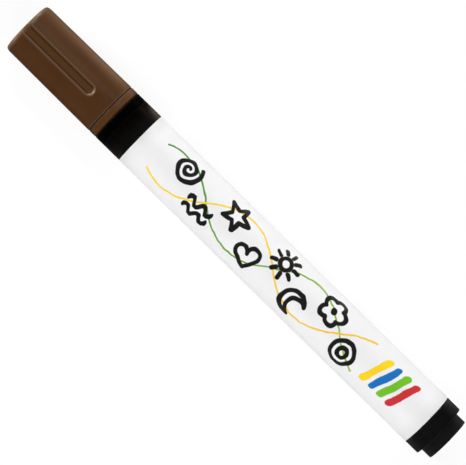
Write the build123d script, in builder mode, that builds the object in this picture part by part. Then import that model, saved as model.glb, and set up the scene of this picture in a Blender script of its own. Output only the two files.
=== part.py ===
from build123d import *
from math import atan2, degrees
import os

# A valve-action liquid chalk marker, capped and lying on its side, in millimetres.
# It lies along X with the cap towards +X, and rests on z = 0 at the middle of its length.
# A station is a distance along the axis from the tail end.

# Outside of the pen, from the tail to the cap
BODY_DIA = 14.4  # plug ring, bare barrel, flange and colour ring are flush
FOOT_STEP = 1.3  # tail plug's foot below its ring
FOOT_LEN = 3.0
PLUG_RING_LEN = 3.96
LABEL_LEN = 95.14
LABEL_END_GAP = 0.1  # bare barrel left at each end of the label's recess
BARE_BARREL_LEN = 5.06
FLANGE_LEN = 2.65
COLOUR_RING_LEN = 1.99
CAP_TAPER = 0.175  # cap's end below its mouth, on one side

# Clearances, all measured on one side
JOINT_GAP = 0.02  # pieces pressed or glued together
SLIDE_GAP = 0.05  # a piece running in its guide
CAP_GAP = 0.15  # cap bore over the nozzle's neck
MOUTH_GAP = 0.2  # cap mouth to the colour ring

# Barrel and label
BARREL_WALL = 1.4
LABEL_THICK = 0.1
LABEL_GLUE = 0.02
LABEL_SUNK = 0.02  # label's face below the bare barrel's

# Snap and seal rings of the two spigots in the barrel's bore
SPIGOT_RELIEF = 0.2  # spigot below the bore, beside its rings
SNAP_HEIGHT = 0.15  # depth of the groove in the bore
SNAP_WIDTH = 1.0
SNAP_INSET = 2.6  # from the barrel's end to the snap groove

# Tail plug
PLUG_SPIGOT_LEN = 7.0
PLUG_WALL = 1.3
PLUG_END_WALL = 2.0
PLUG_ROUND = 0.12

# Nozzle
NOZZLE_SPIGOT_LEN = 13.0
NOZZLE_SPIGOT_WALL = 0.8
NECK_LEN = 10.0
NECK_STEP = 0.7  # from the neck down to the nose
NOSE_CONE_LEN = 5.0
NOSE_TIP_LEN = 2.0
NOSE_WALL = 0.6
CLICK_HEIGHT = 0.1  # bead that holds the cap
CLICK_WIDTH = 1.2
CLICK_INSET = 3.0  # from the cap's mouth to the bead
CHAMBER_STEP = 0.4  # ink chamber outside the nib's flutes
CHAMBER_LAP = 2.0  # ink chamber in front of the nib's back end

# Nib and the ribs that guide it
NIB_DIA = 5.0
NIB_REACH = 5.5  # out of the nose
NIB_DOME_LEN = 3.4
NIB_TRAVEL = 2.5
NIB_BACK_GAP = 0.3  # left behind the nib when it is pressed home
NIB_BACK_CHAMFER = 0.4
NIB_RIBS = 6
NIB_RIB_WIDTH = 0.8
NIB_FLUTE_DEPTH = 0.3

# Pump valve in the nozzle's spigot
HOUSING_LEN = 13.3
HOUSING_RECESS = 0.5  # housing inside the spigot's end
HOUSING_WALL = 0.8
SEAT_WALL = 1.2
SEAT_HOLE_GAP = 0.4  # ink's way round the pin
SEAT_GAP = 0.03  # seal to its seat
GASKET_THICK = 0.8
GASKET_WIDTH = 1.5  # from its outside to its hole
SEAL_THICK = 0.8
PIN_DIA = 1.6
ROD_DIA = 1.6
HEAD_GAP = 0.5  # ink's way round the stem's head
HEAD_THICK = 1.2
RETAINER_THICK = 1.6
RETAINER_RECESS = 0.3  # retainer inside the housing's end
RETAINER_PORTS = 4
PORT_DIA = 0.9
WIRE_DIA = 0.5
SPRING_INSET = 0.3  # spring inside the head's edge
SPRING_COILS = 6

# Mixing ball
BALL_DIA = 6.35
BALL_FLOOR_GAP = 0.05
BALL_END_GAP = 0.4

# Cap and its liner
CAP_SKIRT_WALL = 1.25  # at the mouth
CAP_WALL = 1.2  # at the closed end
CAP_END_WALL = 1.4
CAP_END_ROUND = 0.6
EDGE_ROUND = 0.15  # outside edges where pieces meet
SEAM_ROUND = 0.05  # edges of the flush seam between flange and barrel
RING_HEEL_ROUND = 0.3  # colour ring's edge at the flange
MOUTH_LEAD = 0.25  # chamfer inside the mouth
GROOVE_INSET = 4.95  # from the mouth to the finger groove's round end
GROOVE_WIDTH = 2.9
GROOVE_FLOOR_WIDTH = 1.3
GROOVE_DEPTH = 0.65
NIB_ROOM = 5.43  # from the nib's tip to the liner's end wall
LINER_LAP = 1.8  # lip over the nose cone
LINER_GAP = 0.25
LINER_WALL = 0.6
LINER_FLANGE_LEN = 2.0
LINER_RIBS = 4
LINER_RIB_WIDTH = 1.0

# Stations along the axis, from the tail
plug_ring_front = FOOT_LEN + PLUG_RING_LEN
barrel_back = plug_ring_front + JOINT_GAP
label_back = barrel_back + LABEL_END_GAP
label_front = label_back + LABEL_LEN
recess_front = label_front + LABEL_END_GAP
barrel_front = recess_front + BARE_BARREL_LEN
flange_back = barrel_front + JOINT_GAP
flange_front = flange_back + FLANGE_LEN
ring_back = flange_front + JOINT_GAP
ring_front = ring_back + COLOUR_RING_LEN
cap_mouth = ring_front + MOUTH_GAP

plug_front = barrel_back + PLUG_SPIGOT_LEN
spigot_back = barrel_front - NOZZLE_SPIGOT_LEN
neck_front = flange_front + NECK_LEN
cone_front = neck_front + NOSE_CONE_LEN
nose_front = cone_front + NOSE_TIP_LEN
nib_tip = nose_front + NIB_REACH

housing_back = spigot_back + HOUSING_RECESS
housing_front = housing_back + HOUSING_LEN
shoulder = housing_front + GASKET_THICK
seat = housing_front - SEAT_WALL
seal_front = seat - SEAT_GAP
head_front = seal_front - SEAL_THICK
head_back = head_front - HEAD_THICK
retainer_back = housing_back + RETAINER_RECESS
retainer_front = retainer_back + RETAINER_THICK
nib_back = shoulder + NIB_TRAVEL + NIB_BACK_GAP
chamber_front = nib_back + CHAMBER_LAP

liner_mouth = cone_front - LINER_LAP
liner_roof = nib_tip + NIB_ROOM
liner_end = liner_roof + LINER_WALL
cap_roof = liner_end + JOINT_GAP
cap_end = cap_roof + CAP_END_WALL
cap_len = cap_end - cap_mouth
click = cap_mouth + CLICK_INSET
back_snap = barrel_back + SNAP_INSET
front_snap = barrel_front - SNAP_INSET
back_seal = (back_snap + plug_front) / 2
front_seal = (spigot_back + front_snap) / 2
ball_station = plug_front + BALL_END_GAP + BALL_DIA / 2

# Radii
body_r = BODY_DIA / 2
foot_r = body_r - FOOT_STEP
label_r = body_r - LABEL_SUNK
recess_r = label_r - LABEL_THICK - LABEL_GLUE
bore_r = body_r - BARREL_WALL
spigot_r = bore_r - SPIGOT_RELIEF
snap_rise = SPIGOT_RELIEF + SNAP_HEIGHT - JOINT_GAP
snap_width = SNAP_WIDTH - 2 * JOINT_GAP
seal_rise = SPIGOT_RELIEF - JOINT_GAP

cap_bore_r = body_r - CAP_SKIRT_WALL
neck_r = cap_bore_r - CAP_GAP
nose_base_r = neck_r - NECK_STEP
nib_r = NIB_DIA / 2
nib_rib_r = nib_r + SLIDE_GAP
flute_r = nib_rib_r + NIB_FLUTE_DEPTH
nose_tip_r = flute_r + NOSE_WALL
chamber_r = flute_r + CHAMBER_STEP

cavity_r = spigot_r - NOZZLE_SPIGOT_WALL
housing_r = cavity_r - JOINT_GAP
gasket_hole_r = housing_r - GASKET_WIDTH
housing_bore_r = housing_r - HOUSING_WALL
pin_r = PIN_DIA / 2
rod_r = ROD_DIA / 2
seat_hole_r = pin_r + SEAT_HOLE_GAP
head_r = housing_bore_r - HEAD_GAP
spring_r = head_r - SPRING_INSET - WIRE_DIA / 2
guide_r = rod_r + SLIDE_GAP
retainer_r = housing_bore_r - JOINT_GAP

cap_end_r = body_r - CAP_TAPER
liner_seat_r = cap_end_r - CAP_WALL
liner_r = liner_seat_r - JOINT_GAP
liner_bore_r = nose_tip_r + LINER_GAP
liner_cup_r = liner_bore_r + LINER_WALL
liner_lip_r = liner_bore_r + (nose_base_r - nose_tip_r) * LINER_LAP / NOSE_CONE_LEN

# Edges are picked to within this
TOLERANCE = 0.001

# The pen's axis, with stations along the plane's x and radii along its y
tail_end = (-cap_end / 2, 0, body_r)
pen_plane = Plane(origin=tail_end, x_dir=(1, 0, 0), z_dir=(0, -1, 0))
pen_axis = Axis(tail_end, (1, 0, 0))


def cross_plane(station):
    """Plane across the pen at a station, facing the cap."""
    return Plane(origin=(station - cap_end / 2, 0, body_r), x_dir=(0, 1, 0), z_dir=(1, 0, 0))


def turn(*outline):
    """Adds the solid that an outline of (station, radius) points makes about the axis."""
    with BuildSketch(pen_plane) as section:
        with BuildLine():
            Polyline(*outline, close=True)
        make_face()
    revolve(section.sketch, axis=pen_axis)


def bump(station, radius, height, width):
    """Outline points of a ring that stands on a radius, or of a groove of that shape."""
    return [
        (station - width / 2, radius),
        (station - width / 4, radius + height),
        (station + width / 4, radius + height),
        (station + width / 2, radius),
    ]


def groove(station, radius, height, width):
    """The same ring cut into a bore, for an outline that runs back towards the tail."""
    return list(reversed(bump(station, radius, height, width)))


def rim(piece, station, radius):
    """The round edge of a piece at a station and a radius."""
    at_station = piece.edges().filter_by(GeomType.CIRCLE).filter_by_position(
        Axis.X, station - cap_end / 2, station - cap_end / 2
    )
    return at_station.filter_by(lambda edge: abs(edge.radius - radius) < TOLERANCE)


# Tail plug: a hollow stopper with a foot and a flush ring, snapped into the barrel's back end
plug_bore_r = spigot_r - PLUG_WALL
with BuildPart() as tail_plug:
    turn(
        (0, 0),
        (0, foot_r),
        (FOOT_LEN, foot_r),
        (FOOT_LEN, body_r),
        (plug_ring_front, body_r),
        (plug_ring_front, spigot_r),
        *bump(back_snap, spigot_r, snap_rise, snap_width),
        *bump(back_seal, spigot_r, seal_rise, snap_width),
        (plug_front, spigot_r),
        (plug_front, plug_bore_r),
        (PLUG_END_WALL, plug_bore_r),
        (PLUG_END_WALL, 0),
    )
    fillet(rim(tail_plug, 0, foot_r), PLUG_ROUND)
    fillet(rim(tail_plug, FOOT_LEN, body_r), PLUG_ROUND)
    fillet(rim(tail_plug, plug_ring_front, body_r), EDGE_ROUND)

# Barrel: the ink tube, with a shallow recess for the label
with BuildPart() as barrel:
    turn(
        (barrel_back, bore_r),
        (barrel_back, recess_r),
        (recess_front, recess_r),
        (recess_front, body_r),
        (barrel_front, body_r),
        (barrel_front, bore_r),
        *groove(front_snap, bore_r, SNAP_HEIGHT, SNAP_WIDTH),
        *groove(back_snap, bore_r, SNAP_HEIGHT, SNAP_WIDTH),
    )
    fillet(rim(barrel, barrel_front, body_r), SEAM_ROUND)

# Label: a printed film wrapped round the recess
with BuildPart() as label:
    turn(
        (label_back, recess_r + LABEL_GLUE),
        (label_back, label_r),
        (label_front, label_r),
        (label_front, recess_r + LABEL_GLUE),
    )

# Nozzle: spigot in the barrel, flush flange, neck for the cap, and the nose that holds the nib
with BuildPart() as nozzle:
    turn(
        (spigot_back, cavity_r),
        (spigot_back, spigot_r),
        *bump(front_seal, spigot_r, seal_rise, snap_width),
        *bump(front_snap, spigot_r, snap_rise, snap_width),
        (flange_back, spigot_r),
        (flange_back, body_r),
        (flange_front, body_r),
        (flange_front, neck_r),
        *bump(click, neck_r, CLICK_HEIGHT, CLICK_WIDTH),
        (neck_front - NECK_STEP, neck_r),
        (neck_front, nose_base_r),
        (cone_front, nose_tip_r),
        (nose_front, nose_tip_r),
        (nose_front, flute_r),
        (chamber_front, flute_r),
        (chamber_front, chamber_r),
        (shoulder, chamber_r),
        (shoulder, cavity_r),
    )
    fillet(rim(nozzle, flange_back, body_r), SEAM_ROUND)
    fillet(rim(nozzle, flange_front, body_r), EDGE_ROUND)
    with BuildSketch(cross_plane(chamber_front)):
        with PolarLocations(nib_rib_r, NIB_RIBS):
            Rectangle(NIB_FLUTE_DEPTH + NOSE_WALL / 2, NIB_RIB_WIDTH, align=(Align.MIN, Align.CENTER))
    extrude(amount=nose_front - chamber_front)

# Colour ring: slipped over the neck against the flange, so the ink's colour shows with the cap off
with BuildPart() as colour_ring:
    turn(
        (ring_back, neck_r + JOINT_GAP),
        (ring_back, body_r),
        (ring_front, body_r),
        (ring_front, neck_r + JOINT_GAP),
    )
    fillet(rim(colour_ring, ring_back, body_r), RING_HEEL_ROUND)
    fillet(rim(colour_ring, ring_front, body_r), EDGE_ROUND)

# Nib: a fibre rod with a bullet tip
with BuildPart() as nib:
    with BuildSketch(pen_plane):
        with BuildLine():
            dome = EllipticalCenterArc((nib_tip - NIB_DOME_LEN, 0), NIB_DOME_LEN, nib_r, arc_size=90)
            Polyline(
                dome @ 1,
                (nib_back + NIB_BACK_CHAMFER, nib_r),
                (nib_back, nib_r - NIB_BACK_CHAMFER),
                (nib_back, 0),
                dome @ 0,
            )
        make_face()
    revolve(axis=pen_axis)

# Valve gasket: a flat ring between the housing and the nozzle's shoulder
with BuildPart() as valve_gasket:
    turn(
        (housing_front + JOINT_GAP, gasket_hole_r),
        (housing_front + JOINT_GAP, housing_r),
        (shoulder - JOINT_GAP, housing_r),
        (shoulder - JOINT_GAP, gasket_hole_r),
    )

# Valve housing: a cup with the valve seat in its front wall
with BuildPart() as valve_housing:
    turn(
        (housing_back, housing_bore_r),
        (housing_back, housing_r),
        (housing_front, housing_r),
        (housing_front, seat_hole_r),
        (seat, seat_hole_r),
        (seat, housing_bore_r),
    )

# Valve seal: a soft washer on the stem, held against the seat
with BuildPart() as valve_seal:
    turn(
        (head_front + JOINT_GAP, pin_r + JOINT_GAP),
        (head_front + JOINT_GAP, head_r),
        (seal_front, head_r),
        (seal_front, pin_r + JOINT_GAP),
    )

# Valve stem: a pin up to the nib, a head behind the seal, and a rod guided by the retainer
with BuildPart() as valve_stem:
    turn(
        (housing_back, 0),
        (housing_back, rod_r),
        (head_back, rod_r),
        (head_back, head_r),
        (head_front, head_r),
        (head_front, pin_r),
        (nib_back - JOINT_GAP, pin_r),
        (nib_back - JOINT_GAP, 0),
    )

# Valve retainer: a ported disc that guides the rod and carries the spring
with BuildPart() as valve_retainer:
    with BuildSketch(cross_plane(retainer_back)):
        Circle(retainer_r)
        Circle(guide_r, mode=Mode.SUBTRACT)
        with PolarLocations((guide_r + retainer_r) / 2, RETAINER_PORTS):
            Circle(PORT_DIA / 2, mode=Mode.SUBTRACT)
    extrude(amount=RETAINER_THICK)

# Valve spring: an open coil from the retainer to the stem's head
wire_back = retainer_front + JOINT_GAP + WIRE_DIA / 2
wire_front = head_back - JOINT_GAP - WIRE_DIA / 2
spring_pitch = (wire_front - wire_back) / SPRING_COILS
with BuildPart() as valve_spring:
    with BuildLine() as coil:
        Helix(
            pitch=spring_pitch,
            height=wire_front - wire_back,
            radius=spring_r,
            center=(wire_back - cap_end / 2, 0, body_r),
            direction=(1, 0, 0),
        )
    with BuildSketch(Plane(origin=coil.line @ 0, z_dir=coil.line % 0)):
        Circle(WIRE_DIA / 2)
    sweep(path=coil.line, is_frenet=True)

# Mixing ball: lies loose in the bore, in front of the tail plug
with BuildPart() as mixing_ball:
    with Locations((ball_station - cap_end / 2, 0, BARREL_WALL + BALL_FLOOR_GAP + BALL_DIA / 2)):
        Sphere(BALL_DIA / 2)

# Cap: a slightly tapered cup with a finger groove that runs out at its end
groove_side = (GROOVE_WIDTH - GROOVE_FLOOR_WIDTH) / 2
groove_back = GROOVE_INSET + groove_side + GROOVE_FLOOR_WIDTH / 2
groove_run = cap_len - groove_back + GROOVE_WIDTH
cap_top = Plane(
    origin=(cap_mouth - cap_end / 2, 0, 2 * body_r),
    x_dir=(cap_len, 0, -CAP_TAPER),
    z_dir=(CAP_TAPER, 0, cap_len),
)
with BuildPart() as cap:
    turn(
        (cap_mouth, body_r),
        (cap_end, cap_end_r),
        (cap_end, 0),
        (cap_roof, 0),
        (cap_roof, liner_seat_r),
        (liner_mouth, liner_seat_r),
        (liner_mouth, cap_bore_r),
        *groove(click, cap_bore_r, CLICK_HEIGHT, CLICK_WIDTH),
        (cap_mouth + MOUTH_LEAD, cap_bore_r),
        (cap_mouth, cap_bore_r + MOUTH_LEAD),
    )
    fillet(rim(cap, cap_mouth, body_r), EDGE_ROUND)
    fillet(rim(cap, cap_end, cap_end_r), CAP_END_ROUND)
    with BuildSketch(cap_top.offset(-GROOVE_DEPTH)):
        with Locations((groove_back + groove_run / 2, 0)):
            SlotCenterToCenter(groove_run, GROOVE_FLOOR_WIDTH)
    extrude(
        amount=2 * GROOVE_DEPTH,
        taper=-degrees(atan2(groove_side, GROOVE_DEPTH)),
        mode=Mode.SUBTRACT,
    )

# Cap liner: a ribbed cup that seals round the nose, seated against the cap's end wall
with BuildPart() as cap_liner:
    turn(
        (liner_mouth, liner_lip_r),
        (liner_mouth, liner_r),
        (liner_mouth + LINER_FLANGE_LEN, liner_r),
        (liner_mouth + LINER_FLANGE_LEN, liner_cup_r),
        (liner_end, liner_cup_r),
        (liner_end, 0),
        (liner_roof, 0),
        (liner_roof, liner_bore_r),
        (cone_front, liner_bore_r),
    )
    with BuildSketch(cross_plane(liner_mouth + LINER_FLANGE_LEN)):
        with PolarLocations(liner_bore_r + LINER_WALL / 2, LINER_RIBS):
            Rectangle(liner_seat_r - liner_bore_r, LINER_RIB_WIDTH, align=(Align.MIN, Align.CENTER))
        Circle(liner_r, mode=Mode.INTERSECT)
    extrude(amount=liner_end - liner_mouth - LINER_FLANGE_LEN)

pieces = {
    "tail_plug": tail_plug,
    "barrel": barrel,
    "label": label,
    "nozzle": nozzle,
    "colour_ring": colour_ring,
    "nib": nib,
    "valve_gasket": valve_gasket,
    "valve_housing": valve_housing,
    "valve_seal": valve_seal,
    "valve_stem": valve_stem,
    "valve_retainer": valve_retainer,
    "valve_spring": valve_spring,
    "mixing_ball": mixing_ball,
    "cap": cap,
    "cap_liner": cap_liner,
}
os.makedirs("parts", exist_ok=True)
for name, piece in pieces.items():
    piece.part.label = name
    export_step(piece.part, f"parts/{name}.step")
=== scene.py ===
from math import cos, floor, hypot, pi, radians, sin, tau

import bmesh
import bpy
from mathutils import Matrix, Vector


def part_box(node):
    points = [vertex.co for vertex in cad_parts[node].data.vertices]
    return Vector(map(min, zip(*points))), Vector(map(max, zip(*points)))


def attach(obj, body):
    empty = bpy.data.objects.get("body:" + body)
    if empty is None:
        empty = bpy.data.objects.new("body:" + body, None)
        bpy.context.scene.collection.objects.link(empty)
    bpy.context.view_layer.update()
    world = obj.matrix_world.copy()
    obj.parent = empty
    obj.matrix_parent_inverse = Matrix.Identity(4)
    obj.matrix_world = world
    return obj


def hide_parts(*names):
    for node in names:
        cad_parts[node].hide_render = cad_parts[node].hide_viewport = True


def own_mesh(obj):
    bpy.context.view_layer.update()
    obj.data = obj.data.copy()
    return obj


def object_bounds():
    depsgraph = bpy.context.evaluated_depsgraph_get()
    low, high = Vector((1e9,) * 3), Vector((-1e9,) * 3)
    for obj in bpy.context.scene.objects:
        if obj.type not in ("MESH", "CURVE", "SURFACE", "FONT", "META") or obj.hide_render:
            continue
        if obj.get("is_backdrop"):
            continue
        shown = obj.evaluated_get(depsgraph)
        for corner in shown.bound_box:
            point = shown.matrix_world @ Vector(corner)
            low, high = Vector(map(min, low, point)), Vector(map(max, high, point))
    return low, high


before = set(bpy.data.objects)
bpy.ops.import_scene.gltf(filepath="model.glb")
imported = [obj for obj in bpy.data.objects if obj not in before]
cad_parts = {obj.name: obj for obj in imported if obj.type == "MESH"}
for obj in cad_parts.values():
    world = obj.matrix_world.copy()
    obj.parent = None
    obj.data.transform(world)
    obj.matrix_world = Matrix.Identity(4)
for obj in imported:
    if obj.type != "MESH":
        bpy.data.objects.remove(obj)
cad_low, cad_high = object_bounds()

# A liquid chalk marker, capped and lying on its side, with the cap towards +X.
# Sizes are in millimetres: a station along the axis from the tail end, and a radius.
MM = 0.001
TAIL_X = cad_low.x
AXIS_Z = cad_high.z / 2
TO_FRAME = Matrix.Translation((TAIL_X, 0, AXIS_Z)) @ Matrix.Scale(MM, 4)
BODY_R = AXIS_Z / MM


def span(node):
    """Back and front stations of a CAD node."""
    low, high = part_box(node)
    return (low.x - TAIL_X) / MM, (high.x - TAIL_X) / MM


PLUG_BACK, PLUG_FRONT = span("tail_plug")
BARREL_BACK, BARREL_FRONT = span("barrel")
LABEL_BACK, LABEL_FRONT = span("label")
SPIGOT_BACK, NOSE_FRONT = span("nozzle")
RING_BACK, RING_FRONT = span("colour_ring")
NIB_BACK, NIB_TIP = span("nib")
GASKET_FRONT = span("valve_gasket")[1]
RETAINER_FRONT = span("valve_retainer")[1]
SPRING_BACK, SPRING_FRONT = span("valve_spring")
LINER_MOUTH = span("cap_liner")[0]
CAP_MOUTH, CAP_END = span("cap")

# Fits between the pieces
JOINT_GAP = 0.02
EDGE_ROUND = 0.15  # outside edges where pieces meet
SEAM_ROUND = 0.05  # edges of the flush seam between flange and barrel, and of the label's recess
SPIGOT_ROUND = 0.2  # ends that go into the barrel
BORE_R = 5.8  # barrel's inside
SPIGOT_R = 5.6  # plug and nozzle inside the barrel
NECK_R = 5.8  # nozzle inside the cap
SNAP_WIDTH = 1.0
SNAP_HEIGHT = 0.15
SNAP_INSET = 2.6
NOZZLE_SNAP = BARREL_FRONT - SNAP_INSET
PLUG_SNAP = BARREL_BACK + SNAP_INSET
SNAP_RISE = BORE_R - SPIGOT_R + SNAP_HEIGHT - JOINT_GAP
SNAP_TOOTH = SNAP_WIDTH - 2 * JOINT_GAP
SEAL_RISE = BORE_R - SPIGOT_R - JOINT_GAP

# Sizes of the cap and the colour ring
CAP_END_R = 7.025
CAP_BORE_R = 5.95
CAP_LEAD = 0.25  # chamfer in the cap's mouth
CAP_ROOF = CAP_END - 1.4  # where its hollow ends
LINER_SEAT_R = 5.825
END_ROLL = 1.3  # the closed end rolls over, this far along the cap
END_DROP = 0.6  # and this far in
END_STEPS = 8
CAP_GATE_R = 1.3  # mark of the moulding gate
GATE_DEPTH = 0.15
RING_HEEL_ROUND = 0.3  # colour ring's edge at the flange
RING_STEP = 0.14  # depth of the ring's low step up to the cap's mouth
CLICK = CAP_MOUTH + 3.0  # bead that holds the cap
CLICK_HEIGHT = 0.1
CLICK_WIDTH = 1.2
GROOVE_CENTRE = CAP_MOUTH + 6.4  # middle of the finger groove's round end
GROOVE_SIDE = 0.21  # the cap sits turned a little on the pen
GROOVE_FLOOR_HALF = 0.65
GROOVE_DEPTH = 0.65
GROOVE_WALL = 0.8  # how far its walls lean out on their way up
GROOVE_SLOPE = GROOVE_DEPTH / GROOVE_WALL
GROOVE_LIP_ROUND = 0.24
GROOVE_FOOT_ROUND = 0.16
GROOVE_SECTOR = radians(17)  # finely divided to each side of the top
GROOVE_STEPS = 68
PLAIN_STEPS = 112  # steps of the rest of the turn
FINE_BACK = GROOVE_CENTRE - 2.2  # finely divided along the cap about the round end
FINE_FRONT = GROOVE_CENTRE + 0.4
FINE_STEP = 0.08

# Sizes of the nozzle, the nib and the valve's spring
FLANGE_BACK = BARREL_FRONT + JOINT_GAP
FLANGE_FRONT = RING_BACK - JOINT_GAP
NECK_FRONT = FLANGE_FRONT + 10.0
NECK_SLOPE = 0.7  # length of the shoulder between neck and nose
NECK_ROUND = 0.25
CONE_FRONT = NECK_FRONT + 5.0
CONE_ROUND = 0.6
NOSE_BASE_R = 5.1
NOSE_TIP_R = 3.45
NOSE_ROUND = 0.22
FLUTE_R = 2.85
FLUTE_ROUND = 0.12
FLUTE_BAND = 0.1  # how near to the flute's wall its points are looked for
CAVITY_R = 4.8
CHAMBER_R = 3.25
CHAMBER_FRONT = NIB_BACK + 2.0
NIB_R = 2.5
NIB_DOME = 3.4
NIB_CHAMFER = 0.4
NIB_STEPS = 14
NIB_RIB_R = 2.55
NIB_RIBS = 6
NIB_RIB_HALF = radians(9)
NIB_TRAVEL = 2.5
WIRE_R = 0.25
WIRE_SIDES = 12
COIL_R = 2.93
COILS = 6
COIL_STEPS = 28

# Sizes of the barrel, the label and the tail plug
RECESS_R = 7.06
RECESS_FRONT = LABEL_FRONT + 0.1
LABEL_LEN = LABEL_FRONT - LABEL_BACK
LABEL_R = 7.18
LABEL_THICK = 0.1
LABEL_START = -129  # degrees round from the top, where the film begins
LABEL_TURN = 384  # the film laps over its own beginning
LABEL_ROWS = 12
LABEL_STEPS = 192
LAP_RAMP = 8  # degrees over which the lap climbs
LAP_RISE = 0.11
FOOT_R = 5.9
FOOT_LEN = 3.0
FOOT_ROOT_ROUND = 0.08  # where the foot meets the plug's ring
FOOT_BAND = 0.1  # how far round the foot its finish reaches
PLUG_RING_FRONT = BARREL_BACK - JOINT_GAP
PLUG_ROUND = 0.12
PLUG_BORE_R = 4.3
PLUG_FLOOR = 2.0  # where its hollow ends
PLUG_GATE_R = 1.1

# Fineness of the meshes
AROUND = 144  # steps of a full turn
ROUND_STEPS = 5  # segments of a rounded edge
SHARP = radians(32)  # edges that fold by more than this stay sharp
MERGE = 1e-7  # points nearer than this are one


# Shader maths

class Shade:
    """One socket of a node tree. Sums on it add Math nodes, and node() adds any other node."""

    def __init__(self, tree, socket=None):
        self.tree = tree
        self.socket = socket

    def node(self, kind, settings=None, inputs=None, output=0):
        """Adds a node, sets it up, fills its sockets and gives back one of its outputs."""
        made = self.tree.nodes.new(kind)
        for key, value in (settings or {}).items():
            setattr(made, key, value)
        for key, value in (inputs or {}).items():
            if isinstance(value, Shade):
                self.tree.links.new(value.socket, made.inputs[key])
            else:
                made.inputs[key].default_value = value
        return Shade(self.tree, made.outputs[output] if made.outputs else None)

    def math(self, operation, *terms):
        return self.node("ShaderNodeMath", {"operation": operation}, dict(enumerate(terms)))

    def __add__(self, other):
        return self.math("ADD", self, other)

    def __radd__(self, other):
        return self.math("ADD", other, self)

    def __sub__(self, other):
        return self.math("SUBTRACT", self, other)

    def __rsub__(self, other):
        return self.math("SUBTRACT", other, self)

    def __mul__(self, other):
        return self.math("MULTIPLY", self, other)

    def __rmul__(self, other):
        return self.math("MULTIPLY", other, self)

    def __truediv__(self, other):
        return self.math("DIVIDE", self, other)

    def __abs__(self):
        return self.math("ABSOLUTE", self)

    def __round__(self):
        return self.math("ROUND", self)

    def __floor__(self):
        return self.math("FLOOR", self)

    def least(self, other):
        return self.math("MINIMUM", self, other)

    def most(self, other):
        return self.math("MAXIMUM", self, other)

    def within(self, low, high):
        return self.most(low).least(high)

    def root(self):
        return self.math("SQRT", self)

    def sine(self):
        return self.math("SINE", self)

    def cosine(self):
        return self.math("COSINE", self)

    def wrap(self, reach):
        """The same value brought between minus and plus a reach by whole steps."""
        return self.math("WRAP", self, reach, -reach)

    def between(self, low, high):
        """0 at low, 1 at high, and no further."""
        return self.node(
            "ShaderNodeMapRange", {"clamp": True}, {"Value": self, "From Min": low, "From Max": high}
        )

    def near(self, middle, reach):
        """1 at a middle value, fading to 0 a reach away from it."""
        return 1 - abs(self - middle).between(0, reach)

    def varied(self, amount):
        """Noise of 0 to 1 as a change by up to half an amount, up or down."""
        return (self - 0.5) * amount

    def mix(self, first, second):
        """The first colour where this is 0, the second where it is 1."""
        return self.node("ShaderNodeMix", {"data_type": "RGBA"}, {0: self, 6: first, 7: second}, 2)

    def split(self):
        """The three numbers of a vector."""
        parts = self.node("ShaderNodeSeparateXYZ", {}, {"Vector": self}).socket.node
        return [Shade(self.tree, output) for output in parts.outputs]


def length(x, y):
    return (x * x + y * y).root()


def angle(x, y):
    return y.math("ARCTAN2", y, x)


def srgb(red, green, blue):
    """Linear colour of 0 to 255 screen values."""
    parts = [value / 255 for value in (red, green, blue)]
    return (*[p / 12.92 if p <= 0.04045 else ((p + 0.055) / 1.055) ** 2.4 for p in parts], 1)


def grey(level):
    """A grey given as linear light."""
    return (level, level, level, 1)


def new_finish(name):
    """An empty material and the start of its nodes."""
    material = bpy.data.materials.new(name)
    material.use_nodes = True
    material.node_tree.nodes.clear()
    return material, Shade(material.node_tree)


def pen_coords(shade):
    """Place in millimetres: along the pen from its tail, to its side, and up from its axis."""
    return shade.node(
        "ShaderNodeMapping",
        {},
        {
            "Vector": shade.node("ShaderNodeTexCoord", output="Object"),
            "Location": (-TAIL_X / MM, 0, -AXIS_Z / MM),
            "Scale": (1 / MM, 1 / MM, 1 / MM),
        },
    )


def stretched(coords, along=1.0, across=1.0):
    """Coordinates scaled along the pen and across it."""
    return coords.node("ShaderNodeMapping", {}, {"Vector": coords, "Scale": (along, across, across)})


def noise(coords, size, detail=2.0, roughness=0.5):
    """Noise from 0 to 1 whose patches are about a size in millimetres."""
    return coords.node(
        "ShaderNodeTexNoise",
        {},
        {"Vector": coords, "Scale": 1 / size, "Detail": detail, "Roughness": roughness},
        "Fac",
    )


def bumped(height, depth, strength):
    """Normals of a height from 0 to 1 that stands for a depth in millimetres."""
    return height.node(
        "ShaderNodeBump", {}, {"Height": height, "Distance": depth * MM, "Strength": strength}
    )


def surface(shade, **sockets):
    """Principled surface, with names such as base_color for its sockets."""
    inputs = {}
    for key, value in sockets.items():
        inputs[key.replace("_", " ").title().replace("Ior", "IOR")] = value
    bsdf = shade.node("ShaderNodeBsdfPrincipled", {}, inputs, "BSDF")
    shade.node("ShaderNodeOutputMaterial", {}, {"Surface": bsdf})


# Marks on the plastics

EDGE_CORE = 0.1  # an edge takes its full colour of wear and painted highlight this near to it
EDGE_REACH = 0.45  # and not at all this far from it
OUTSIDE = (BODY_R - 0.4, BODY_R - 0.2)  # radii over which a seam's painted shade comes in
# Painted shade at the foot of the finger groove's walls
GROOVE_FOOT_SHADE = srgb(42, 19, 2)
# Painted light on the finger groove's floor, against the shade of its walls
GROOVE_FLOOR_LIGHT = srgb(82, 49, 16)
# Painted highlight on the roll into the cap's closed end
END_ROLL_HIGHLIGHT = srgb(122, 94, 70)
# Painted highlight on the wall of the finger groove's round end
ROUND_END_HIGHLIGHT = srgb(172, 144, 122)
# Painted shade in the seams between the cap, the colour ring and the flange
SEAM_SHADE = srgb(32, 12, 0)


def rubbed_and_highlit_edges(coords, edges):
    """1 on the rims that are given by station and radius, fading away from them."""
    station, side, height = coords.split()
    radius = length(side, height)
    wear_and_highlight = None
    for rim_station, rim_radius in edges:
        away = length(station - rim_station, radius - rim_radius)
        rim = 1 - away.between(EDGE_CORE, EDGE_REACH)
        wear_and_highlight = rim if wear_and_highlight is None else wear_and_highlight.most(rim)
    return wear_and_highlight


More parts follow.
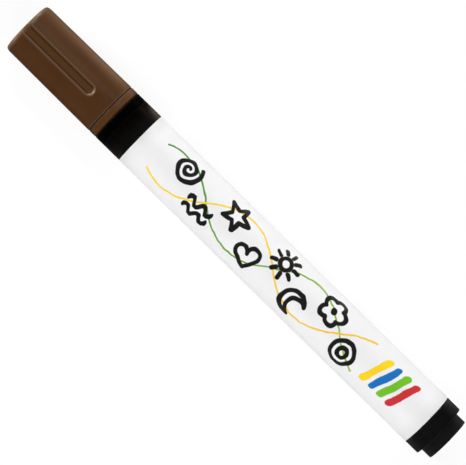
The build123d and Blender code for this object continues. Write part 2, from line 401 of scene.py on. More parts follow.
def groove_marks(coords):
    """Masks in the finger groove: painted highlight on its lip, painted shade at the foot of its wall,
    painted light on its bottom, and painted highlight on the wall of its round end.
    """
    lip_out, lip_reach = 0.76, 0.38  # out from the edge of the groove's floor
    foot_out, foot_reach = 0.26, 0.26
    wall_out, wall_reach = 0.56, 0.36
    floor_edge, floor_full = 0.1, -0.15
    top_low, top_full = 5.0, 5.5
    open_end, open_full = CAP_END - 0.2, CAP_END - 1.1
    round_front, round_full = GROOVE_CENTRE - 0.4, GROOVE_CENTRE - 1.1
    station, side, height = coords.split()
    from_floor = length((station - GROOVE_CENTRE).least(0), side - GROOVE_SIDE) - GROOVE_FLOOR_HALF
    on_top = height.between(top_low, top_full) * station.between(open_end, open_full)
    lip_highlight = from_floor.near(lip_out, lip_reach) * on_top
    foot_shade = from_floor.near(foot_out, foot_reach) * on_top
    groove_floor_light = from_floor.between(floor_edge, floor_full) * on_top
    round_end = station.between(round_front, round_full)
    return lip_highlight, foot_shade, groove_floor_light, from_floor.near(wall_out, wall_reach) * on_top * round_end


def rolled_end(coords):
    """Painted highlight where the cap rolls over into its closed end: 1 there, fading away from it and
    to the right side.
    """
    roll_starts, roll_full = CAP_END - 1.15 * END_ROLL, CAP_END - 0.15 * END_ROLL
    middle, lean = 0.9, 0.055  # strength on the middle line, and its rise per millimetre to the left, where the lamps light the roll less
    station, side, height = coords.split()
    roll = station.between(roll_starts, roll_full)
    rim = length(side, height).between(CAP_END_R - 2 * END_DROP, CAP_END_R - END_DROP)
    return roll * roll * rim * (middle + side * lean)


# Finishes

def moulded_plastic(
    name, colours, sheen, level=0.5, grain_depth=0.006, edges=(), wear_and_highlight=None, grooved=False, seams=()
):
    """Injection-moulded plastic: flow patches, a fine spark grain, scuffs, and edges in a colour of
    wear and painted highlight.

    Edges are given by station and radius, and the seams that hold painted shade by station and reach.
    """
    material, shade = new_finish(name)
    coords = pen_coords(shade)
    flow = noise(stretched(coords, along=0.35), size=3.5, detail=3)
    grain = noise(coords, size=0.16, roughness=0.6)
    scratches = noise(stretched(coords, across=0.25), size=1.1, detail=4, roughness=0.65)
    scuffs = scratches.between(0.56, 0.75)
    colour = (flow * 0.75 + grain * 0.25).between(0.3, 0.7).mix(*colours)
    roughness = sheen + flow.varied(0.08) + scuffs * 0.06
    if edges:
        patches = noise(coords, size=0.9, detail=3, roughness=0.6).between(0.25, 0.55)
        worn_and_highlit = rubbed_and_highlit_edges(coords, edges) * patches
        if grooved:
            # The finger groove takes painted light and shade: highlights on its lip, its round end's
            # wall and the rolled end, light on its bottom, shade at its walls' feet
            lip_highlight, foot_shade, groove_floor_light, end_wall_highlight = groove_marks(coords)
            worn_and_highlit = worn_and_highlit.most(lip_highlight)
            colour = groove_floor_light.mix(colour, GROOVE_FLOOR_LIGHT)
            colour = foot_shade.mix(colour, GROOVE_FOOT_SHADE)
            colour = rolled_end(coords).mix(colour, END_ROLL_HIGHLIGHT)
            colour = end_wall_highlight.mix(colour, ROUND_END_HIGHLIGHT)
            roughness = roughness + foot_shade * 0.5 - lip_highlight * 0.15
        colour = worn_and_highlit.mix(colour, wear_and_highlight)
        roughness = roughness - worn_and_highlit * 0.12
    # Seams take painted shade
    for seam_station, reach in seams:
        station, side, height = coords.split()
        outside = length(side, height).between(*OUTSIDE)
        seam_shade = abs(station - seam_station).between(reach, reach / 2) * outside
        colour = seam_shade.mix(colour, SEAM_SHADE)
        roughness = roughness + seam_shade * 0.4
    surface(
        shade,
        base_color=colour,
        roughness=roughness,
        specular_ior_level=level,
        normal=bumped(grain, grain_depth, strength=0.6),
    )
    return material


def drawn_tube(name, deep, pale, sheen, level):
    """Extruded tube: hair lines along the pen in sheen and colour, and painted shade that is deepest
    beside the flange and lifts towards the label.

    It is matt at its seam with the flange.
    """
    seam_reach = 0.2
    material, shade = new_finish(name)
    coords = pen_coords(shade)
    lines = noise(stretched(coords, along=0.02), size=0.25, detail=3, roughness=0.6)
    patches = noise(coords, size=2.5)
    mottle = (lines * 0.5 + patches * 0.5).between(0.35, 0.65)
    station = coords.split()[0]
    painted_shade_lift = station.between(BARREL_FRONT, RECESS_FRONT)
    at_seam = station.near(BARREL_FRONT, seam_reach)
    surface(
        shade,
        base_color=painted_shade_lift.mix(mottle.mix(*deep), mottle.mix(*pale)),
        roughness=sheen + lines.varied(0.12) + at_seam * 0.7,
        specular_ior_level=level,
        normal=bumped(lines, depth=0.003, strength=0.5),
    )
    return material


def pressed_fibre(name):
    """Nib of pressed fibres: pale strands along the pen with darker gaps between them."""
    material, shade = new_finish(name)
    coords = pen_coords(shade)
    strands = noise(stretched(coords, along=0.07), size=0.14, detail=3, roughness=0.7)
    felt = noise(coords, size=0.35, detail=3, roughness=0.65)
    mass = strands * 0.7 + felt * 0.3
    surface(
        shade,
        base_color=mass.between(0.3, 0.62).mix(srgb(196, 190, 176), srgb(243, 240, 232)),
        roughness=0.82 + felt.varied(0.2),
        normal=bumped(mass, depth=0.05, strength=0.8),
    )
    return material


def soft_rubber(name):
    """Matt seal rubber with a bloom of fine dust."""
    material, shade = new_finish(name)
    coords = pen_coords(shade)
    bloom = noise(coords, size=0.6, detail=4, roughness=0.65)
    surface(
        shade,
        base_color=bloom.between(0.35, 0.75).mix(srgb(34, 34, 35), srgb(62, 61, 60)),
        roughness=0.72 + bloom.varied(0.2),
        normal=bumped(noise(coords, size=0.12), depth=0.008, strength=0.6),
    )
    return material


def bright_steel(name):
    """Polished steel wire and ball, with fine drawing marks."""
    material, shade = new_finish(name)
    coords = pen_coords(shade)
    marks = noise(stretched(coords, across=0.2), size=0.2, detail=4, roughness=0.65)
    surface(
        shade,
        base_color=marks.between(0.3, 0.7).mix(srgb(168, 168, 170), srgb(205, 205, 206)),
        metallic=1.0,
        roughness=0.2 + marks.varied(0.14),
        normal=bumped(marks, depth=0.002, strength=0.4),
    )
    return material


# Its edge colour at the mouth and on the groove's lips is painted highlight, and its seam at the mouth
# holds painted shade
cap_plastic = moulded_plastic(
    "brown cap plastic",
    colours=(srgb(68, 38, 8), srgb(75, 44, 12)),
    sheen=0.42,
    level=0.3,
    edges=((CAP_MOUTH, BODY_R),),
    wear_and_highlight=srgb(105, 79, 58),
    grooved=True,
    seams=((CAP_MOUTH, 0.16),),
)
# Its seams at the cap's mouth and at the flange hold painted shade
ring_plastic = moulded_plastic(
    "brown ring plastic",
    colours=(srgb(75, 43, 12), srgb(82, 49, 17)),
    sheen=0.42,
    level=0.3,
    seams=(((RING_FRONT + CAP_MOUTH) / 2, 0.16), (RING_BACK, 0.28)),
)
plug_plastic = moulded_plastic(
    "satin black plastic",
    colours=(srgb(10, 10, 10), srgb(15, 15, 15)),
    sheen=0.34,
    level=0.07,
    edges=((PLUG_RING_FRONT, BODY_R),),
    wear_and_highlight=srgb(23, 23, 22),
)
foot_plastic = moulded_plastic(
    "scuffed black plastic",
    colours=(srgb(21, 21, 21), srgb(27, 27, 27)),
    sheen=0.34,
    level=0.07,
    edges=((PLUG_BACK, FOOT_R), (FOOT_LEN, FOOT_R)),
    wear_and_highlight=srgb(38, 38, 37),
)
# Its brown edge colour at the front is a painted reflection of the colour ring
flange_plastic = moulded_plastic(
    "deep black plastic",
    colours=(srgb(1, 1, 2), srgb(3, 3, 4)),
    sheen=0.28,
    level=0.012,
    grain_depth=0.003,
    edges=((FLANGE_FRONT, BODY_R),),
    wear_and_highlight=srgb(38, 21, 11),
)
nose_plastic = moulded_plastic(
    "glossy black plastic",
    colours=(srgb(10, 10, 11), srgb(15, 15, 16)),
    sheen=0.26,
    level=0.3,
    grain_depth=0.003,
    edges=((NECK_FRONT, NOSE_BASE_R), (NOSE_FRONT, NOSE_TIP_R)),
    wear_and_highlight=srgb(30, 30, 31),
)
# Deep is the painted shade beside the flange, pale where it has lifted towards the label
tube_plastic = drawn_tube(
    "black tube",
    deep=(srgb(2, 1, 0), srgb(5, 3, 2)),
    pale=(srgb(14, 13, 13), srgb(20, 19, 18)),
    sheen=0.2,
    level=0.05,
)
valve_plastic = moulded_plastic(
    "white valve plastic", colours=(srgb(226, 226, 220), srgb(238, 238, 234)), sheen=0.38
)
liner_plastic = moulded_plastic(
    "natural liner plastic", colours=(srgb(214, 212, 200), srgb(228, 227, 217)), sheen=0.5
)
nib_fibre = pressed_fibre("nib fibre")
seal_rubber = soft_rubber("seal rubber")
steel = bright_steel("bright steel")


# Label film and its print, drawn in millimetres from the edge beside the cap and up from the pen's top

INK_EDGE = 0.05
STROKE = 0.56  # half width of a drawn stroke
STROKE_SWELL = 0.22  # how far that width changes
STROKE_FRAY = 0.05
THIN_STROKE = 0.23
WANDER = 0.9  # how far a drawn line strays
DASH_HALF = 0.95
DASH_REACH = 3.6
DASH_SLANT = 0.3
DASH_FRAY = 0.25
WAVE_RUN = (6, 74)
WAVE_LEN = 44
WAVE_SWING = 5.2
WAVE_SLOPE = 0.85  # share of a height that is left as distance where the line slopes
END_SHARE = 0.07  # share of the label's half length that is shaded at its ends
END_SHADE = 0.6


def turned_by(x, y, degrees):
    """Local directions of a motif that is drawn at an angle."""
    c, s = cos(radians(degrees)), sin(radians(degrees))
    return x * c + y * s, y * c - x * s


def spoked(x, y, count):
    """A point's distance from the centre, and its place in the nearest of some equal sectors."""
    away = length(x, y)
    turn = angle(x, y).wrap(pi / count)
    return away, away * turn.cosine(), away * turn.sine()


def bar(x, y, start, end):
    """Distance from a straight stroke between two points."""
    run, rise = end[0] - start[0], end[1] - start[1]
    x, y = x - start[0], y - start[1]
    share = ((x * run + y * rise) / (run * run + rise * rise)).within(0, 1)
    return length(x - share * run, y - share * rise)


def arc(x, y, radius, middle, half):
    """Distance from an arc about the centre, half an angle to each side of its middle, in degrees."""
    x, y = turned_by(x, y, middle)
    turn = angle(x, y).within(-radians(half), radians(half))
    return length(x - radius * turn.cosine(), y - radius * turn.sine())


def spiral(x, y):
    pitch, turns = 1.75, 2.1
    away = length(x, y)
    turn = angle(x, y) / tau
    coil = round(away / pitch - turn).least(floor(turns - turn)).most(0)
    arm = abs(away - (turn + coil) * pitch)
    end_x, end_y = turns * pitch * cos(turns * tau), turns * pitch * sin(turns * tau)
    return arm.least(length(x - end_x, y - end_y))


def star(x, y):
    points, tip, notch = 5, 3.7, 1.65
    _, out, side = spoked(x, y, points)
    return bar(out, abs(side), (tip, 0), (notch * cos(pi / points), notch * sin(pi / points)))


def flower(x, y):
    petals, petal_out, petal_r, petal_half, eye_r = 5, 2.0, 1.5, 87.6, 0.3
    away, out, side = spoked(x, y, petals)
    return arc(out - petal_out, side, petal_r, 0, petal_half).least(away - eye_r)


def sun(x, y):
    rays, disc_r, ray_start, ray_end = 9, 1.45, 2.5, 3.7
    away, out, side = spoked(x, y, rays)
    return abs(away - disc_r).least(bar(out, side, (ray_start, 0), (ray_end, 0)))


def waves(x, y):
    reach, height, wave_len, apart = 3.5, 0.75, 3.5, 1.25
    inside = x.within(-reach, reach)
    phase = inside * (tau / wave_len)
    steep = height * tau / wave_len * phase.cosine()
    off = abs(abs(y - height * phase.sine()) - apart) / (1 + steep * steep).root()
    return length(x - inside, off)


def heart(x, y):
    tilt, lift, point = 20, 0.4, (0, -3.2)
    lobe_x, lobe_y, lobe_r, lobe_middle, lobe_half = 1.55, 0.75, 1.55, 68.5, 111.5
    lobe_end = (2.684, -0.302)
    x, y = turned_by(x, y, tilt)
    x, y = abs(x), y - lift
    return bar(x, y, lobe_end, point).least(
        arc(x - lobe_x, y - lobe_y, lobe_r, lobe_middle, lobe_half)
    )


def moon(x, y):
    tilt, shift = -25, 0.6
    outer_r, outer_half = 3.2, 126.6
    inner_x, inner_r, inner_half = 1.5, 2.6, 99.1
    x, y = turned_by(x + shift, y, tilt)
    return arc(x, y, outer_r, 180, outer_half).least(arc(x - inner_x, y, inner_r, 180, inner_half))


def target(x, y):
    outer_r, inner_r = 3.0, 1.2
    away = length(x, y)
    return abs(away - outer_r).least(abs(away - inner_r))


DOODLES = (  # motif, from the cap's side, up from the top line
    (spiral, 13.5, 2.9),
    (waves, 21.5, -2.9),
    (star, 29.5, 3.0),
    (heart, 37.5, -2.8),
    (sun, 45.5, 3.0),
    (moon, 53.5, -2.9),
    (flower, 61.5, 2.9),
    (target, 69.5, -2.9),
)
DASHES = (  # colour, from the cap's side
    (srgb(252, 214, 22), 78.2),
    (srgb(0, 112, 190), 81.1),
    (srgb(112, 192, 34), 84.0),
    (srgb(204, 44, 48), 86.9),
)


def inked(distance, half):
    """1 inside a stroke of some half width, with a soft edge."""
    return 1 - ((distance - half) / (2 * INK_EDGE) + 0.5).within(0, 1)


def printed_film():
    """White satin film with hand-drawn strokes, two thin waves and four slanted dashes.

    The print is there twice round the pen.
    """
    material, shade = new_finish("printed label film")
    coords = pen_coords(shade)
    u, v, _ = shade.node("ShaderNodeTexCoord", output="UV").split()
    wander = noise(coords, size=4.0, detail=1) - 0.5
    drift = noise(stretched(coords, along=1.3, across=0.8), size=3.1, detail=1) - 0.5
    fray = noise(coords, size=0.3) - 0.5
    along = u * LABEL_LEN + wander * WANDER
    turn = v * radians(LABEL_TURN) + radians(LABEL_START)
    around = turn.wrap(pi / 2) * LABEL_R + drift * WANDER
    paper = noise(coords, size=6.0)
    colour = paper.between(0.3, 0.7).mix(srgb(238, 238, 239), srgb(241, 241, 241))
    ends = u.near(0.5, 0.5).between(END_SHARE, 0) * (END_SHADE + wander)
    colour = ends.mix(colour, srgb(218, 219, 216))

    inside = along.within(*WAVE_RUN)
    sway = WAVE_SWING * (inside * (tau / WAVE_LEN)).sine()
    green = inked(length(along - inside, (around - sway) * WAVE_SLOPE), THIN_STROKE)
    colour = green.mix(colour, along.between(*WAVE_RUN).mix(srgb(66, 138, 22), srgb(150, 196, 40)))
    yellow = inked(length(along - inside, (around + sway) * WAVE_SLOPE), THIN_STROKE)
    colour = yellow.mix(colour, along.between(*WAVE_RUN).mix(srgb(250, 220, 40), srgb(246, 196, 30)))

    for paint, station in DASHES:
        slanted = along - station - around * DASH_SLANT
        dash = bar(around, slanted, (-DASH_REACH, 0), (DASH_REACH, 0))
        colour = inked(dash + fray * DASH_FRAY, DASH_HALF).mix(colour, paint)

    drawn = None
    for motif, station, rise in DOODLES:
        distance = motif(along - station, around - rise)
        drawn = distance if drawn is None else drawn.least(distance)
    black = inked(drawn, STROKE + wander * STROKE_SWELL + fray * STROKE_FRAY)
    creases = noise(stretched(coords, along=0.3), size=2.2)
    surface(
        shade,
        base_color=black.mix(colour, srgb(8, 8, 8)),
        roughness=0.52 + paper.varied(0.06) - black * 0.08,
        specular_ior_level=0.3,
        normal=bumped(creases, depth=0.01, strength=0.1),
    )
    return material


label_film = printed_film()


# Meshes

def turned(outline, start=0.0, turns=((tau, AROUND),)):
    """Closed shape of an outline turned about the axis. A third number rounds a point's corner."""
    shape = bmesh.new()
    corners = [shape.verts.new((point[0], 0, point[1])) for point in outline]
    shape.faces.new(corners)
    for corner, point in zip(corners, outline):
        if len(point) == 3:
            bmesh.ops.bevel(
                shape,
                geom=[corner],
                offset=point[2],
                offset_type="OFFSET",
                affect="VERTICES",
                segments=ROUND_STEPS,
                profile=0.5,
                material=-1,
            )
    bmesh.ops.delete(shape, geom=shape.faces[:], context="FACES_ONLY")
    on_axis = [edge for edge in shape.edges if all(abs(vert.co.z) < MERGE for vert in edge.verts)]
    bmesh.ops.delete(shape, geom=on_axis, context="EDGES")
    bmesh.ops.rotate(shape, cent=(0, 0, 0), matrix=Matrix.Rotation(start, 3, "X"), verts=shape.verts[:])
    profile = shape.verts[:] + shape.edges[:]
    for turn, steps in turns:
        made = bmesh.ops.spin(
            shape,
            geom=profile,
            cent=(0, 0, 0),
            axis=(1, 0, 0),
            dvec=(0, 0, 0),
            angle=turn,
            steps=steps,
            use_merge=turn == tau,
        )
        profile = made["geom_last"]
    return shape


def add_piece(shape, name, node, body, material):
    """Makes a bmesh the finished piece that stands for a CAD node."""
    bmesh.ops.transform(shape, matrix=TO_FRAME, verts=shape.verts)
    bmesh.ops.remove_doubles(shape, verts=shape.verts, dist=MERGE)
    bmesh.ops.recalc_face_normals(shape, faces=shape.faces)
    for face in shape.faces:
        face.smooth = True
    for edge in shape.edges:
        edge.smooth = edge.calc_face_angle(0) < SHARP
    mesh = bpy.data.meshes.new(name)
    shape.to_mesh(mesh)
    shape.free()
    piece = bpy.data.objects.new(name, mesh)
    bpy.context.scene.collection.objects.link(piece)
    mesh.materials.append(material)
    shading = piece.modifiers.new("shading", "WEIGHTED_NORMAL")
    shading.keep_sharp = True
    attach(piece, body)
    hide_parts(node)
    return piece


def bump(station, radius, height, width):
    """Outline points of a low ring that stands on a radius."""
    return [
        (station - width / 2, radius),
        (station - width / 4, radius + height),
        (station + width / 4, radius + height),
        (station + width / 2, radius),
    ]


def groove(station, radius, depth, width):
    """The same ring cut into a bore, for an outline that runs back towards the tail."""
    return list(reversed(bump(station, radius, depth, width)))


# Cap and colour ring

def cap_radius(station):
    """Cap's outside at a station."""
    return BODY_R + (CAP_END_R - BODY_R) * (station - CAP_MOUTH) / (CAP_END - CAP_MOUTH)


def soft_least(a, b, reach):
    """The lesser of two heights, blended where they are near each other."""
    near = max(reach - abs(a - b), 0) / reach
    return min(a, b) - near * near * reach / 4


def press_groove(shape):
    """Lowers the cap's top into the finger groove, which runs out at the closed end."""
    for vert in shape.verts:
        station, side, height = vert.co
        past = min(station - GROOVE_CENTRE, 0)
        from_floor = hypot(past, side - GROOVE_SIDE) - GROOVE_FLOOR_HALF
        wall = -soft_least(-from_floor, 0, GROOVE_FOOT_ROUND) * GROOVE_SLOPE
        sunk = cap_radius(station) - GROOVE_DEPTH + wall
        if height > BODY_R - 2 * GROOVE_DEPTH:
            vert.co.z = soft_least(height, sunk, GROOVE_LIP_ROUND)


def add_cap():
    count = round((FINE_FRONT - FINE_BACK) / FINE_STEP)
    fine = [FINE_BACK + index * FINE_STEP for index in range(count + 1)]
    turns = [index * pi / 2 / END_STEPS for index in range(END_STEPS + 1)]
    end_roll = [
        (CAP_END - END_ROLL * (1 - sin(turn)), CAP_END_R - END_DROP * (1 - cos(turn))) for turn in turns
    ]
    shape = turned(
        [
            (CAP_MOUTH, BODY_R, EDGE_ROUND),
            *[(station, cap_radius(station)) for station in fine],
            *end_roll,
            (CAP_END, CAP_END_R - 2 * END_ROLL),
            (CAP_END, CAP_GATE_R + GATE_DEPTH),
            (CAP_END - GATE_DEPTH, CAP_GATE_R, GATE_DEPTH / 2),
            (CAP_END - GATE_DEPTH, 0),
            (CAP_ROOF, 0),
            (CAP_ROOF, LINER_SEAT_R),
            (LINER_MOUTH, LINER_SEAT_R),
            (LINER_MOUTH, CAP_BORE_R),
            *groove(CLICK, CAP_BORE_R, CLICK_HEIGHT, CLICK_WIDTH),
            (CAP_MOUTH + CAP_LEAD, CAP_BORE_R),
            (CAP_MOUTH, CAP_BORE_R + CAP_LEAD),
        ],
        start=-GROOVE_SECTOR,
        turns=((2 * GROOVE_SECTOR, GROOVE_STEPS), (tau - 2 * GROOVE_SECTOR, PLAIN_STEPS)),
    )
    press_groove(shape)
    add_piece(shape, "cap_shell", "cap", "cap", cap_plastic)


def add_colour_ring():
    bore_r = NECK_R + JOINT_GAP
    shape = turned(
        [
            (RING_BACK, bore_r),
            (RING_BACK, BODY_R, RING_HEEL_ROUND),
            (RING_FRONT, BODY_R, EDGE_ROUND),
            (RING_FRONT, BODY_R - RING_STEP),
            (CAP_MOUTH - JOINT_GAP, BODY_R - RING_STEP),
            (CAP_MOUTH - JOINT_GAP, bore_r),
        ]
    )
    add_piece(shape, "colour_band", "colour_ring", "pen", ring_plastic)


# Nozzle, nib and the valve's spring

def press_ribs(shape):
    """Raises the ribs in the nose's flute that hold the nib."""
    step = tau / NIB_RIBS
    for vert in shape.verts:
        away = hypot(vert.co.y, vert.co.z)
        if vert.co.x > CHAMBER_FRONT - FLUTE_BAND and away < FLUTE_R + FLUTE_BAND / 2:
            turn = Vector((vert.co.z, vert.co.y)).angle_signed(Vector((1, 0)))
            if abs((turn + step / 2) % step - step / 2) < NIB_RIB_HALF:
                vert.co.y *= NIB_RIB_R / away
                vert.co.z *= NIB_RIB_R / away


def add_nozzle():
    shoulder = GASKET_FRONT + JOINT_GAP
    shape = turned(
        [
            (SPIGOT_BACK, CAVITY_R),
            (SPIGOT_BACK, SPIGOT_R, SPIGOT_ROUND),
            *bump((SPIGOT_BACK + NOZZLE_SNAP) / 2, SPIGOT_R, SEAL_RISE, SNAP_TOOTH),
            *bump(NOZZLE_SNAP, SPIGOT_R, SNAP_RISE, SNAP_TOOTH),
            (FLANGE_BACK, SPIGOT_R),
            (FLANGE_BACK, BODY_R, SEAM_ROUND),
            (FLANGE_FRONT, BODY_R, EDGE_ROUND),
            (FLANGE_FRONT, NECK_R),
            *bump(CLICK, NECK_R, CLICK_HEIGHT, CLICK_WIDTH),
            (NECK_FRONT - NECK_SLOPE, NECK_R, NECK_ROUND),
            (NECK_FRONT, NOSE_BASE_R, NECK_ROUND),
            (CONE_FRONT, NOSE_TIP_R, CONE_ROUND),
            (NOSE_FRONT, NOSE_TIP_R, NOSE_ROUND),
            (NOSE_FRONT, FLUTE_R, FLUTE_ROUND),
            (CHAMBER_FRONT, FLUTE_R),
            (CHAMBER_FRONT, CHAMBER_R),
            (shoulder, CHAMBER_R),
            (shoulder, CAVITY_R),
        ]
    )
    press_ribs(shape)
    for face in shape.faces:
        middle = face.calc_center_median()
        on_flange = FLANGE_BACK < middle.x < FLANGE_FRONT and hypot(middle.y, middle.z) > NECK_R
        face.material_index = int(on_flange)
    piece = add_piece(shape, "nozzle_body", "nozzle", "pen", nose_plastic)
    piece.data.materials.append(flange_plastic)


def add_nib():
    turns = [index * pi / 2 / NIB_STEPS for index in range(NIB_STEPS + 1)]
    dome = [(NIB_TIP - NIB_DOME * (1 - cos(turn)), NIB_R * sin(turn)) for turn in turns]
    shape = turned(
        [
            *dome,
            (NIB_BACK + NIB_CHAMFER, NIB_R),
            (NIB_BACK, NIB_R - NIB_CHAMFER),
            (NIB_BACK, 0),
        ]
    )
    add_piece(shape, "nib_rod", "nib", "pump", nib_fibre)


def add_spring():
    back = SPRING_BACK + WIRE_R
    front = SPRING_FRONT - WIRE_R
    steps = COILS * COIL_STEPS
    shape = bmesh.new()
    ring = bmesh.ops.create_circle(shape, cap_ends=True, segments=WIRE_SIDES, radius=WIRE_R)["verts"]
    bmesh.ops.rotate(shape, cent=(0, 0, 0), matrix=Matrix.Rotation(pi / 2, 3, "X"), verts=ring)
    bmesh.ops.translate(shape, vec=(back, 0, COIL_R), verts=ring)
    bmesh.ops.spin(
        shape,
        geom=shape.verts[:] + shape.edges[:] + shape.faces[:],
        cent=(0, 0, 0),
        axis=(1, 0, 0),
        dvec=((front - back) / steps, 0, 0),
        angle=COILS * tau,
        steps=steps,
    )
    piece = add_piece(shape, "spring_coil", "valve_spring", "pen", steel)
    seat = TAIL_X + RETAINER_FRONT * MM
    1 - NIB_TRAVEL / (SPRING_FRONT - RETAINER_FRONT)
    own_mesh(piece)


# Barrel, label and tail plug

def add_barrel():
    shape = turned(
        [
            (BARREL_BACK, BORE_R),
            (BARREL_BACK, RECESS_R),
            (RECESS_FRONT, RECESS_R),
            (RECESS_FRONT, BODY_R, SEAM_ROUND),
            (BARREL_FRONT, BODY_R, SEAM_ROUND),
            (BARREL_FRONT, BORE_R),
            *groove(NOZZLE_SNAP, BORE_R, SNAP_HEIGHT, SNAP_WIDTH),
            *groove(PLUG_SNAP, BORE_R, SNAP_HEIGHT, SNAP_WIDTH),
        ]
    )
    add_piece(shape, "barrel_tube", "barrel", "pen", tube_plastic)


def add_label():
    shape = bmesh.new()
    shape.loops.layers.uv.new("print")
    bmesh.ops.create_grid(shape, x_segments=LABEL_ROWS, y_segments=LABEL_STEPS, size=0.5, calc_uvs=True)
    for vert in shape.verts:
        turn = LABEL_START + LABEL_TURN * (vert.co.y + 0.5)
        lap = (turn - (LABEL_START + 360 - LAP_RAMP)) / LAP_RAMP
        radius = LABEL_R + LAP_RISE * min(max(lap, 0), 1)
        station = LABEL_FRONT - LABEL_LEN * (vert.co.x + 0.5)
        vert.co = (station, -radius * sin(radians(turn)), radius * cos(radians(turn)))
    shape.normal_update()
    bmesh.ops.solidify(shape, geom=shape.faces[:], thickness=LABEL_THICK)
    add_piece(shape, "label_wrap", "label", "pen", label_film)


def add_tail_plug():
    shape = turned(
        [
            (PLUG_BACK + GATE_DEPTH, 0),
            (PLUG_BACK + GATE_DEPTH, PLUG_GATE_R, GATE_DEPTH / 2),
            (PLUG_BACK, PLUG_GATE_R + GATE_DEPTH),
            (PLUG_BACK, FOOT_R, PLUG_ROUND),
            (FOOT_LEN, FOOT_R, FOOT_ROOT_ROUND),
            (FOOT_LEN, BODY_R, PLUG_ROUND),
            (PLUG_RING_FRONT, BODY_R, EDGE_ROUND),
            (PLUG_RING_FRONT, SPIGOT_R),
            *bump(PLUG_SNAP, SPIGOT_R, SNAP_RISE, SNAP_TOOTH),
            *bump((PLUG_SNAP + PLUG_FRONT) / 2, SPIGOT_R, SEAL_RISE, SNAP_TOOTH),
            (PLUG_FRONT, SPIGOT_R, SPIGOT_ROUND),
            (PLUG_FRONT, PLUG_BORE_R),
            (PLUG_FLOOR, PLUG_BORE_R),
            (PLUG_FLOOR, 0),
        ]
    )
    for face in shape.faces:
        middle = face.calc_center_median()
        on_foot = middle.x < FOOT_LEN and hypot(middle.y, middle.z) < FOOT_R + FOOT_BAND
        face.material_index = int(on_foot)
    piece = add_piece(shape, "tail_stopper", "tail_plug", "pen", plug_plastic)
    piece.data.materials.append(foot_plastic)


add_cap()
add_colour_ring()
add_nozzle()
add_nib()
add_spring()
add_barrel()
add_label()
add_tail_plug()

# CAD nodes whose shape is right take a finish
for node, material in (
    ("cap_liner", liner_plastic),
    ("valve_housing", valve_plastic),
    ("valve_stem", valve_plastic),
    ("valve_retainer", valve_plastic),
    ("valve_gasket", seal_rubber),
    ("valve_seal", seal_rubber),
    ("mixing_ball", steel),
):
    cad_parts[node].material_slots[0].material = material


# Stage, in metres

SWEEP_R = 3.0
SWEEP_SIDES = 96
BEND_R = 1.5
BEND_STEPS = 12
FLOOR_WHITE = grey(0.97)
FLOOR_GLOW = grey(1.03)  # keeps the floor white to the eye
GLOW_SHARE = 0.85  # the rest of what the eye sees of the floor keeps the shadow
FLOOR_BOUNCE = grey(0.7)  # what the floor throws back at the pen

# What the pen's gloss shows of the floor, all painted: a dark floor, and glowing strips to the right
# and the left
FLOOR_SHEEN = grey(0.1)
RIGHT_GLINT = grey(1.9)  # beside the label
LEFT_GLINT = grey(0.9)
WARM_RIGHT_GLINT = (2.1, 1.48, 0.95, 1)  # beside the cap
WARM_LEFT_GLINT = (0.18, 0.09, 0.04, 1)

# Places on the floor along the pen and to its side, each from where it begins to where it is full
WARM_FROM = (0.030, 0.034)
FLANGE_SHADE_BACK = (0.0350, 0.0370)
FLANGE_SHADE_FRONT = (0.0460, 0.0410)
TAIL_SHADE = (-0.060, -0.067)
CAP_END_SHADE = (0.052, 0.070)
TAIL_DIM = 0.8
CAP_END_DIM = 0.4
CLEAR_OF_PEN = (0.011, 0.017)
NEAR_PEN = (6.0, 0.1)
TO_RIGHT = (0.01, -0.01)


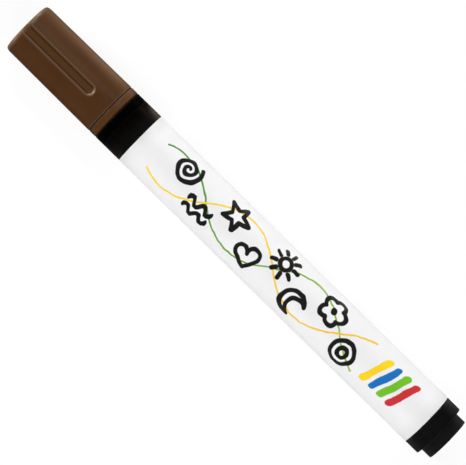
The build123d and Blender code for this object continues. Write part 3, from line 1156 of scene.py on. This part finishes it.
def add_stage():
    """White floor that curves up into a backdrop all round."""
    shape = bmesh.new()
    rim = bmesh.ops.create_circle(shape, cap_ends=True, segments=SWEEP_SIDES, radius=SWEEP_R)["verts"]
    edges = {edge for vert in rim for edge in vert.link_edges}
    for step in range(1, BEND_STEPS + 1):
        made = bmesh.ops.extrude_edge_only(shape, edges=list(edges))["geom"]
        ring = [item for item in made if isinstance(item, bmesh.types.BMVert)]
        bend = pi / 2 * step / BEND_STEPS
        for vert in ring:
            out = Vector((vert.co.x, vert.co.y, 0)).normalized() * (SWEEP_R + BEND_R * sin(bend))
            vert.co = (out.x, out.y, BEND_R * (1 - cos(bend)))
        edges = {item for item in made if isinstance(item, bmesh.types.BMEdge) and item.is_boundary}
    bmesh.ops.recalc_face_normals(shape, faces=shape.faces)
    mesh = bpy.data.meshes.new("white_sweep")
    shape.to_mesh(mesh)
    shape.free()
    piece = bpy.data.objects.new("white_sweep", mesh)
    bpy.context.scene.collection.objects.link(piece)
    mesh.materials.append(floor_finish())
    piece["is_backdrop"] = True


def floor_finish():
    """White floor that keeps the pen's shadow, and that the pen's gloss shows as painted glowing strips
    and painted shade.
    """
    material, shade = new_finish("white sweep")
    camera_ray = shade.node("ShaderNodeLightPath", output="Is Camera Ray")
    glossy_ray = shade.node("ShaderNodeLightPath", output="Is Glossy Ray")
    through_ray = shade.node("ShaderNodeLightPath", output="Is Transmission Ray")
    looked_at = camera_ray.most(through_ray)
    along, side, _ = shade.node("ShaderNodeTexCoord", output="Object").split()
    beside_flange = along.between(*FLANGE_SHADE_BACK) * along.between(*FLANGE_SHADE_FRONT)
    beside_tail = along.between(*TAIL_SHADE) * TAIL_DIM
    beside_end = along.between(*CAP_END_SHADE) * CAP_END_DIM
    shaded = beside_flange.most(beside_tail).most(beside_end)
    lit = abs(side).between(*CLEAR_OF_PEN) * abs(side).between(*NEAR_PEN) * (1 - shaded)
    right = side.between(*TO_RIGHT)
    glint = along.between(*WARM_FROM).mix(
        right.mix(LEFT_GLINT, RIGHT_GLINT), right.mix(WARM_LEFT_GLINT, WARM_RIGHT_GLINT)
    )
    colour = looked_at.mix(glossy_ray.mix(FLOOR_BOUNCE, FLOOR_SHEEN), FLOOR_WHITE)
    matte = shade.node("ShaderNodeBsdfDiffuse", {}, {"Color": colour})
    glow = shade.node("ShaderNodeEmission", {}, {"Color": looked_at.mix(glint, FLOOR_GLOW)})
    share = (looked_at * GLOW_SHARE).most(glossy_ray * lit)
    mixed = shade.node("ShaderNodeMixShader", {}, {0: share, 1: matte, 2: glow})
    shade.node("ShaderNodeOutputMaterial", {}, {"Surface": mixed})
    return material


add_stage()


# Light

LAMPS = (  # name, azimuth from +X towards +Y, elevation, size, distance, white of a face turned to it
    ("key", 9, 22, 0.2, 1.1, 0.58),
    ("back", 180, 48, 0.8, 1.4, 0.48),
    ("right front", -50, 45, 0.4, 1.6, 0.3),
    ("left back", 130, 45, 0.4, 1.6, 0.16),
    ("low right front", -48, 6, 0.3, 1.6, 0.44),
    ("low right back", -132, 6, 0.3, 1.6, 0.14),
    ("low left front", 48, 6, 0.3, 1.6, 0.26),
    ("low left back", 132, 6, 0.3, 1.6, 0.24),
)
WORLD_LEVEL = 0.01


def add_light(name, azimuth, elevation, size, distance, level):
    """Soft lamp that is turned to the pen and hidden from the camera."""
    lamp = bpy.data.lights.new(name, "AREA")
    lamp.shape = "DISK"
    lamp.size = size
    lamp.energy = level * (pi * distance) ** 2
    light = bpy.data.objects.new(name, lamp)
    bpy.context.scene.collection.objects.link(light)
    turn, lift = radians(azimuth), radians(elevation)
    towards = Vector((cos(lift) * cos(turn), cos(lift) * sin(turn), sin(lift)))
    light.location = towards * distance
    light.rotation_euler = towards.to_track_quat("Z", "Y").to_euler()
    light.visible_camera = False


for lamp_row in LAMPS:
    add_light(*lamp_row)

world = bpy.data.worlds.new("studio")
world.use_nodes = True
background = world.node_tree.nodes["Background"]
background.inputs["Color"].default_value = (1, 1, 1, 1)
background.inputs["Strength"].default_value = WORLD_LEVEL
bpy.context.scene.world = world

# Camera straight above the pen
CAMERA_DISTANCE = 0.83  # above the pen's axis
CAMERA_X = 0.86 * MM  # off the pen's middle
CAMERA_Y = 0.535 * MM
CAMERA_TURN = -135.54  # degrees, so that the pen lies across the picture
PICTURE_WIDTH = 466
PIXELS_PER_MM = 4.2093
SENSOR_WIDTH = 36
camera_data = bpy.data.cameras.new("camera")
camera_data.sensor_width = SENSOR_WIDTH
camera_data.lens = PIXELS_PER_MM * CAMERA_DISTANCE / MM * SENSOR_WIDTH / PICTURE_WIDTH
camera = bpy.data.objects.new("camera", camera_data)
bpy.context.scene.collection.objects.link(camera)
camera.location = (CAMERA_X, CAMERA_Y, AXIS_Z + CAMERA_DISTANCE)
camera.rotation_euler = (0, 0, radians(CAMERA_TURN))
bpy.context.scene.camera = camera
bpy.context.scene.view_settings.view_transform = "Standard"

low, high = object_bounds()
{"cad": [list(cad_low), list(cad_high)], "visual": [list(low), list(high)]}
